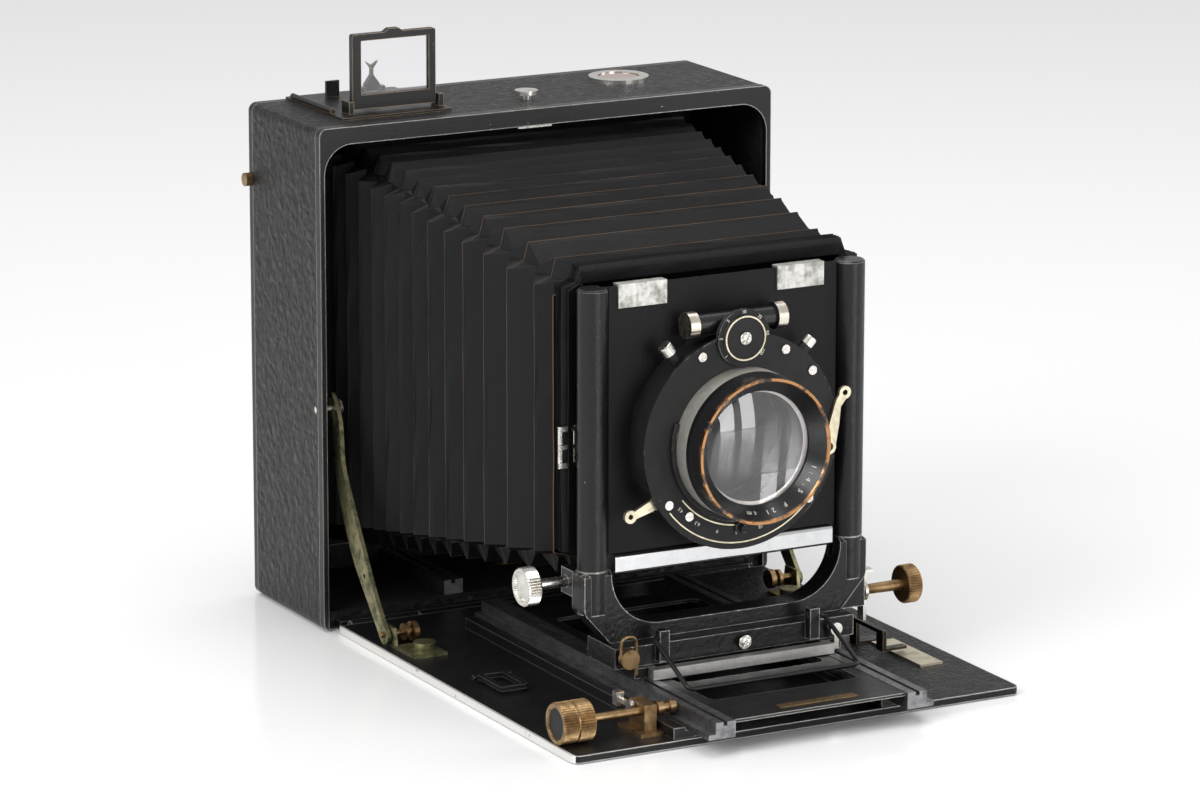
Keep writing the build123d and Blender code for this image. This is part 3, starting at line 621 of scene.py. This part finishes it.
feed(
    tree, bsdf, colour, calc(tree, "ADD", calc(tree, "MULTIPLY", cloud, 0.2), 0.42), 0.0, crumple,
    0.0007, 0.5,
)
bsdf.inputs["Specular IOR Level"].default_value = 0.24


rear_y, bellows_length = 70.0, 220.0
rear_fold = (101.0, 25.0, 232.0)  # half width, bottom and top at the body
front_fold = (77.0, 58.0, 198.5)  # and at the U frame


def taper(y):
    """Half width, bottom and top of the bellows' outer folds at a distance from the body's front."""
    t = (rear_y - y) / bellows_length
    return [a + (b - a) * t for a, b in zip(rear_fold, front_fold)]


fold_depth = 7.5
fold_steps = (0.08, 0.5, 0.92)  # just past a crest, the valley, just before the next crest
crest_cut, crest_tip = 11.0, -4.5  # corners are cut and tucked in on the crests
valley_cut, valley_tip = 3.0, 2.0  # and stand out in the valleys
crests = (66, 56, 45, 34, 23, 12, 1, -10, -22, -34, -47, -61, -76, -93, -112, -134, -149)
rings = []
for i, y in enumerate(crests):
    half, low, high = taper(y)
    rings.append((y, half, low, high, crest_cut, crest_tip, 1.0))
    if i + 1 < len(crests):
        step = crests[i + 1] - y
        for t in fold_steps:
            depth = fold_depth * min(1.0, t / 0.5 if t <= 0.5 else (1 - t) / 0.5)
            half, low, high = taper(y + step * t)
            share = depth / fold_depth
            cut = crest_cut + (valley_cut - crest_cut) * share
            tip = crest_tip + (valley_tip - crest_tip) * share
            rings.append(
                (y + step * t, half - depth, low + depth, high - depth, cut, tip, 1.0 - share)
            )
main_bellows = fold_tube("bellows_main", rings, bellows_finish, 7, 0.35)
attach(main_bellows, "body")
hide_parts("bellows")
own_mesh(main_bellows)

inner_y, inner_step, inner_cut = -52, 4.0, 4.0
crest_inset, valley_inset = 9.5, 12.5  # how far it lies inside the main piece
rings = []
for i in range(25):
    y = inner_y - inner_step * i
    half, low, high = taper(y)
    inset = crest_inset if i % 2 else valley_inset
    fold = 1.0 if i % 2 else 0.0
    rings.append((y, half - inset, low + inset, high - inset, inner_cut, 0.0, fold))
inner_bellows = fold_tube("bellows_inner", rings, bellows_finish, 11, 0.1)
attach(inner_bellows, "carriage")
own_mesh(inner_bellows)

short_y, short_step, short_depth = -146.5, 1.15, 5.5
half, low, high, cut, tip = 74.0, 64.0, 199.0, 8.0, -2.0
rings = []
for i in range(11):
    y = short_y - short_step * i
    inset = 0.0 if i % 2 == 0 else short_depth
    fold = 0.9 if i % 2 == 0 else 0.2
    rings.append((y, half - inset, low + inset, high - inset, cut - inset, tip, fold))
front_bellows = fold_tube("bellows_front", rings, bellows_finish, 13, 0.25)
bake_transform(front_bellows)


# ---- knobs ----
# Turned brass knobs with a straight knurl and a dished end; the rise and cross knobs are in one
# piece with their shafts. The rise knob is nickel plated, and the focusing knob has two knurled
# bands with a groove between.
def turned_x(name, profile, centre, material, teeth, cut, knurled):
    """Turns a profile of (x, radius) about an axis along X. Knurled stretches get teeth."""
    bm = bmesh.new()
    count = teeth * 2
    last = None
    for x, radius in profile:
        if last is None:
            made = bmesh.ops.create_circle(bm, cap_ends=True, segments=count, radius=1.0)
            ring = made["verts"]
            edges = bm.edges[:]
        else:
            made = bmesh.ops.extrude_edge_only(bm, edges=edges)["geom"]
            edges = [g for g in made if isinstance(g, bmesh.types.BMEdge)]
            ring = next_ring(last, made)
        rough_here = any(a <= x <= b for a, b in knurled)
        for i, vert in enumerate(ring):
            turn = 2 * math.pi * i / count
            r = radius - (cut if rough_here and i % 2 else 0.0)
            vert.co = mm(x, centre[0] + r * math.cos(turn), centre[1] + r * math.sin(turn))
        last = ring
    bmesh.ops.contextual_create(bm, geom=edges)
    bmesh.ops.recalc_face_normals(bm, faces=bm.faces)
    return keep_piece(name, bm, material)


def knob_profile(x0, x1, radius, d):
    """The outline of a knob from its outer end, going inwards along d: dished face, chamfers, rim."""
    return [
        (x0 + d * 1.2, 1.2), (x0 + d * 1.2, radius - 2.6), (x0, radius - 2.0),
        (x0, radius - 0.7), (x0 + d * 0.6, radius), (x1 - d * 0.6, radius),
        (x1, radius - 0.8), (x1, 2.6),
    ]


focus_axis, rise_axis, cross_axis = (-221.0, 13.3), (-152.0, 56.0), (-166.0, 36.0)
focus_profile = [
    (-112.9, 1.2), (-112.9, 7.2), (-114.0, 7.5), (-114.0, 9.0), (-113.5, 9.5), (-106.6, 9.5),
    (-106.3, 8.9), (-105.7, 8.9), (-105.4, 9.5), (-98.5, 9.5), (-98.0, 8.9), (-98.0, 2.6),
]
focus_knob = turned_x(
    "focus_knob_turned", focus_profile, focus_axis, brass, 46, 0.6,
    knurled=((-113.6, -106.5), (-105.5, -98.4)),
)
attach(focus_knob, "focus_knob")
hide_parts("focus_knob")
inset_bm = bmesh.new()
bmesh.ops.create_circle(inset_bm, cap_ends=True, segments=40, radius=0.0070)
for step in range(2):
    bmesh.ops.inset_region(inset_bm, faces=inset_bm.faces[:1], thickness=0.0016, depth=0.00015)
inset_bm.transform(
    Matrix.Translation(mm(-113.0, *focus_axis)) @ Matrix.Rotation(-math.pi / 2, 4, "Y")
)
knob_inset = keep_piece("focus_knob_inset", inset_bm, matt_paint)
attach(knob_inset, "focus_knob")

rise_profile = knob_profile(-95.0, -88.2, 9.0, 1) + [
    (-70.0, 2.5), (-57.4, 2.5), (-57.4, 4.6), (-53.4, 4.6),
]
rise_knob = turned_x(
    "rise_knob_turned", rise_profile, rise_axis, nickel, 40, 0.6,
    knurled=((-94.5, -88.6), (-57.5, -53.3)),
)
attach(rise_knob, "rise_knob")
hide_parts("rise_knob")
shift_profile = knob_profile(102.5, 95.5, 9.0, -1) + [(76.0, 2.3), (60.0, 2.3)]
shift_knob = turned_x(
    "cross_knob_turned", shift_profile, cross_axis, brass, 40, 0.6, knurled=((95.9, 102.1),),
)
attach(shift_knob, "shift_knob")
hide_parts("shift_knob")

# ---- bail and clasp ----
# Bent steel wire in black lacquer with a few chips. The bail is held in two holes of the standard's
# base, and the clasp lies on the bed.
wire_paint = lacquer("wire_lacquer", 0.35, 0.0006, shine=0.2)
wear_material(cad["wire_bail"], wire_paint)
wear_material(cad["bed_clasp"], wire_paint)


# ---- lock spring and slotted screws ----
# A flat U of brass wire beside the base lock button, and slotted screw heads in the standard's base
# and in the middle of the dial.
def as_mesh(name, curve):
    """A curve or a text as a mesh, by way of an object that is then removed."""
    holder = bpy.data.objects.new(name + "_line", curve)
    bpy.context.scene.collection.objects.link(holder)
    bpy.context.view_layer.update()
    seen = bpy.context.evaluated_depsgraph_get()
    mesh = bpy.data.meshes.new_from_object(holder.evaluated_get(seen))
    bpy.data.objects.remove(holder)
    return mesh


def bent_wire(name, points, radius, material, corner):
    """Round wire along straight runs with rounded bends."""
    curve = bpy.data.curves.new(name, "CURVE")
    curve.dimensions = "3D"
    curve.bevel_depth = radius / 1000.0
    curve.bevel_resolution = 4
    curve.use_fill_caps = True
    line = curve.splines.new("BEZIER")
    rounded = []
    for i, here in enumerate(points):
        here = mm(*here)
        if 0 < i < len(points) - 1:
            before, after = mm(*points[i - 1]), mm(*points[i + 1])
            bend = min(corner / 1000.0, (here - before).length * 0.45, (after - here).length * 0.45)
            into = here + (before - here).normalized() * bend
            away = here + (after - here).normalized() * bend
            rounded += [(into, into, here), (away, here, away)]
        else:
            rounded.append((here, here, here))
    line.bezier_points.add(len(rounded) - 1)
    reach = 0.55  # how far a handle reaches towards the corner, for a round bend
    for spot, (at, left, right) in zip(line.bezier_points, rounded):
        spot.co = at
        spot.handle_left_type = spot.handle_right_type = "FREE"
        spot.handle_left = at + (left - at) * reach
        spot.handle_right = at + (right - at) * reach
    line.resolution_u = 8
    mesh = as_mesh(name, curve)
    mesh.name = name
    mesh.materials.clear()
    mesh.materials.append(material)
    for polygon in mesh.polygons:
        polygon.use_smooth = True
    piece = bpy.data.objects.new(name, mesh)
    bpy.context.scene.collection.objects.link(piece)
    return piece


u_spring = bent_wire(
    "lock_spring",
    [(-61.4, -184.6, 27), (-61.4, -184.6, 36.0), (-53.6, -184.6, 36.0), (-53.6, -184.6, 18)], 0.75,
    brass, 3.4,
)
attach(u_spring, "standard_base")


def cut_across(bm, place, facing, clear=False):
    """Cuts a mesh along a plane, and clears what lies behind it if asked."""
    every = bm.verts[:] + bm.edges[:] + bm.faces[:]
    bmesh.ops.bisect_plane(bm, geom=every, plane_co=place, plane_no=facing, clear_inner=clear)


face_front = Matrix.Rotation(math.pi / 2, 4, "X")


def slot_screw(name, centre, radius, material, body):
    """A slotted screw head, domed, facing forwards."""
    base, flatter = radius * 0.3 / 1000.0, 0.55
    slot_half, slot_reach, slot_floor = (radius * share / 1000.0 for share in (0.1, 0.101, 0.2))
    bm = bmesh.new()
    bmesh.ops.create_uvsphere(bm, u_segments=28, v_segments=14, radius=radius / 1000.0)
    cut_across(bm, (0, 0, base), (0, 0, 1), True)
    bmesh.ops.holes_fill(bm, edges=[e for e in bm.edges if e.is_boundary])
    bmesh.ops.scale(bm, vec=(1, 1, flatter), verts=bm.verts)
    for side in (-1, 1):
        cut_across(bm, (side * slot_half, 0, 0), (1, 0, 0))
    bmesh.ops.recalc_face_normals(bm, faces=bm.faces)
    for vert in bm.verts:
        if abs(vert.co.x) <= slot_reach and vert.co.z > slot_floor:
            vert.co.z = slot_floor
    turned = Matrix.Rotation(0.5, 4, "Y")
    bm.transform(Matrix.Translation(mm(*centre)) @ turned @ face_front)
    piece = keep_piece(name, bm, material, True)
    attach(piece, body)
    return piece


dial_z = lens_z + 48.0
slot_screw("base_screw", (3.5, -182.4, 25.0), 3.6, nickel, "standard_base")
slot_screw("dial_screw", (0.0, -187.2, dial_z), 3.2, nickel, "speed_dial")

# ---- engraved figures ----
# Figures on the dial, the lens ring and the stop scale that look cut and filled with white paint,
# yellowed a little. Each is a thin raised shape.
white_fill, tree, bsdf, where = finish("engraved_white")
feed(tree, bsdf, tint(tree, noise(tree, where, 700.0), (0.60, 0.58, 0.52), (0.86, 0.85, 0.80)), 0.5)


def engrave(name, words, size, radius, turn, centre, body, tilt=0.0):
    """One figure or word on a circle about an axis along Y, as a thin raised shape."""
    text = bpy.data.curves.new(name, "FONT")
    text.body = words
    text.size = size / 1000.0
    text.extrude = 0.00004
    text.align_x = "CENTER"
    text.align_y = "CENTER"
    mesh = as_mesh(name, text)
    angle = math.radians(turn)
    spin = Matrix.Rotation(angle, 4, "Z") @ Matrix.Rotation(math.radians(tilt), 4, "X")
    out = Vector((-math.sin(angle), math.cos(angle), 0)) * radius / 1000.0
    mesh.transform(Matrix.Translation(mm(*centre)) @ face_front @ Matrix.Translation(out) @ spin)
    mesh.materials.clear()
    mesh.materials.append(white_fill)
    piece = bpy.data.objects.new(name, mesh)
    bpy.context.scene.collection.objects.link(piece)
    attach(piece, body)
    return piece


for i, figure in enumerate(("1", "2", "5", "10", "25", "50", "100")):
    engrave(
        "dial_figure_%d" % i, figure, 2.2, 11.8, 130 - 43 * i, (0, -186.05, dial_z), "speed_dial",
    )

for i, figure in enumerate("1:4.5  F 21 cm"):
    if figure != " ":
        engrave(
            "ring_figure_%d" % i, figure, 3.4, 29.0, -112 - 6.2 * i, (0, -202.75, lens_z),
            "lens_board", 50.0,
        )
for i, figure in enumerate(("4.5", "6.3", "9", "12.5", "18", "25", "36")):
    engrave(
        "stop_figure_%d" % i, figure, 2.3, 42.0, 132 + 15.5 * i, (0, -184.35, lens_z),
        "lens_board",
    )


# ---- small bright fittings ----
# Turned and bent nickel and brass: rings round the dial and the stop scale, the cable socket and the
# timing post, a square loop beside the left column, and a strip on the carriage's plate.
def ring_y(name, inner, outer, y, x, z, material, body, start=0.0, sweep=360.0, thick=0.35):
    """A flat ring, or part of one, about an axis along Y."""
    bm = bmesh.new()
    section = ((inner, 0), (outer, 0), (outer, thick), (inner, thick))
    corners = [bm.verts.new((r / 1000.0, 0, d / 1000.0)) for r, d in section]
    edges = [bm.edges.new((corners[i], corners[(i + 1) % 4])) for i in range(4)]
    whole = sweep > 359.0
    bmesh.ops.spin(
        bm, geom=corners + edges, cent=(0, 0, 0), axis=(0, 0, 1), angle=math.radians(sweep),
        steps=72, use_merge=whole,
    )
    if not whole:
        bmesh.ops.holes_fill(bm, edges=[e for e in bm.edges if e.is_boundary])
    bmesh.ops.recalc_face_normals(bm, faces=bm.faces)
    turned = Matrix.Rotation(math.radians(start), 4, "Z")
    bm.transform(Matrix.Translation(mm(x, y, z)) @ face_front @ turned)
    piece = keep_piece(name, bm, material)
    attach(piece, body)
    return piece


def short_rod(name, start, end, radius, material, body):
    """A round rod between two points, with a chamfer at each end."""
    a, b = mm(*start), mm(*end)
    run = b - a
    bm = bmesh.new()
    bmesh.ops.create_cone(
        bm, cap_ends=True, segments=28, radius1=radius / 1000.0, radius2=radius / 1000.0,
        depth=run.length,
    )
    rims = [e for e in bm.edges if abs(e.verts[0].co.z - e.verts[1].co.z) < 1e-6]
    bmesh.ops.bevel(
        bm, geom=rims, offset=radius * 0.00018, offset_type="OFFSET", segments=2, profile=0.5,
        affect="EDGES", material=-1,
    )
    bmesh.ops.recalc_face_normals(bm, faces=bm.faces)
    bm.transform(Matrix.Translation((a + b) / 2) @ run.to_track_quat("Z", "Y").to_matrix().to_4x4())
    piece = keep_piece(name, bm, material)
    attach(piece, body)
    return piece


def small_plate(name, low, high, material, body):
    """A thin plate with softened edges, from its two opposite corners."""
    a, b = mm(*low), mm(*high)
    bm = bmesh.new()
    bmesh.ops.create_cube(bm, size=1.0)
    for vert in bm.verts:
        vert.co = (a + b) / 2 + Vector(
            ((b - a).x * vert.co.x, (b - a).y * vert.co.y, (b - a).z * vert.co.z)
        )
    bmesh.ops.bevel(
        bm, geom=bm.edges[:], offset=0.00015, offset_type="OFFSET", segments=1, profile=0.5,
        affect="EDGES", material=-1,
    )
    bmesh.ops.recalc_face_normals(bm, faces=bm.faces)
    piece = keep_piece(name, bm, material)
    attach(piece, body)
    return piece


ring_y("dial_ring", 9.6, 10.3, -187.2, 0.0, dial_z, pale_brass, "speed_dial")
ring_y(
    "stop_scale_edge", 46.4, 47.0, -184.2, 0.0, lens_z, pale_brass, "lens_board", 218.0,
    104.0,
)
ring_y(
    "stop_scale_inner", 38.2, 38.8, -184.2, 0.0, lens_z, pale_brass, "lens_board", 218.0,
    104.0,
)
short_rod(
    "cable_socket", (-33.2, -178.0, 162.0), (-36.6, -178.0, 166.4), 3.3, nickel, "lens_board",
)
short_rod(
    "timing_post", (36.2, -178.0, 158.4), (39.4, -178.0, 161.8), 3.1, nickel, "lens_board",
)
loop_bars = {
    "left": ((-78.4, -157.4, 110), (-76.6, -156.2, 129)),
    "right": ((-71.0, -157.4, 110), (-69.2, -156.2, 129)),
    "top": ((-78.4, -157.5, 126.6), (-69.2, -156.1, 129.2)),
    "middle": ((-78.4, -157.5, 118.4), (-69.2, -156.1, 120.6)),
    "bottom": ((-78.4, -157.5, 109.8), (-69.2, -156.1, 112.4)),
}
for side, (low, high) in loop_bars.items():
    small_plate("loop_" + side, low, high, nickel, "u_frame")
small_plate("plate_strip", (-17, -250.5, 14.6), (23, -245.5, 15.1), brass, "carriage")
